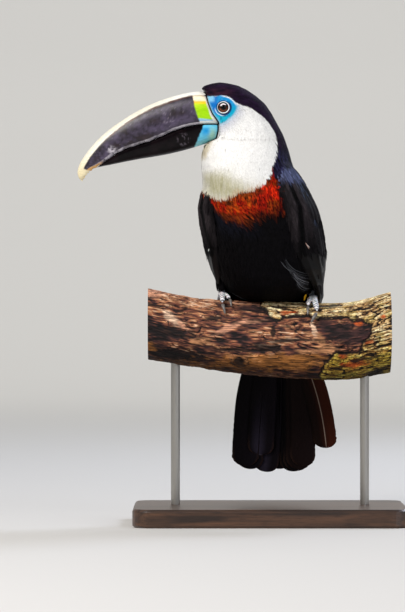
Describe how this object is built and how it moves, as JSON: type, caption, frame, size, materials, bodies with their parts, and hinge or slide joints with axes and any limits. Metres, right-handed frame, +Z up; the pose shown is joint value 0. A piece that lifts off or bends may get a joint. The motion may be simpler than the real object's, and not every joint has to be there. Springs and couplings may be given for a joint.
{
  "type": "toucan display model",
  "caption": "Life-size white-throated toucan perched on a cut length of branch, head turned in profile, held on a flat stand with rods.",
  "frame": {"origin": "centre of the underside of the stand's flat base", "axes": "+Z up; the breast faces about -Y, turned some 14 degrees towards -X; the bill points to -X; the perch runs along X"},
  "size_m": [0.3609, 0.2, 0.484],
  "materials": {
    "plumage": "soft black feathers",
    "bib": "soft white feathers",
    "horn": "satin horn sheath",
    "eye": "wet gloss",
    "foot": "scaly skin",
    "claw": "dark keratin",
    "wood": "weathered branch with bark and lichen",
    "board": "dark oiled hardwood",
    "rod": "brushed"
  },
  "bodies": {
    "root": {"head": "plumage", "neck": "bib", "trunk": "plumage", "tail": "plumage", "wing_left": "plumage", "wing_right": "plumage", "bill_upper": "horn", "bill_lower": "horn", "eye_left": "eye", "eye_right": "eye", "leg_left": "foot", "leg_right": "foot", "claw_left_1": "claw", "claw_left_2": "claw", "claw_left_3": "claw", "claw_left_4": "claw", "claw_right_1": "claw", "claw_right_2": "claw", "claw_right_3": "claw", "claw_right_4": "claw", "perch": "wood", "stand_base": "board", "stand_rod_left": "rod", "stand_rod_right": "rod"}
  },
  "joints": []
}
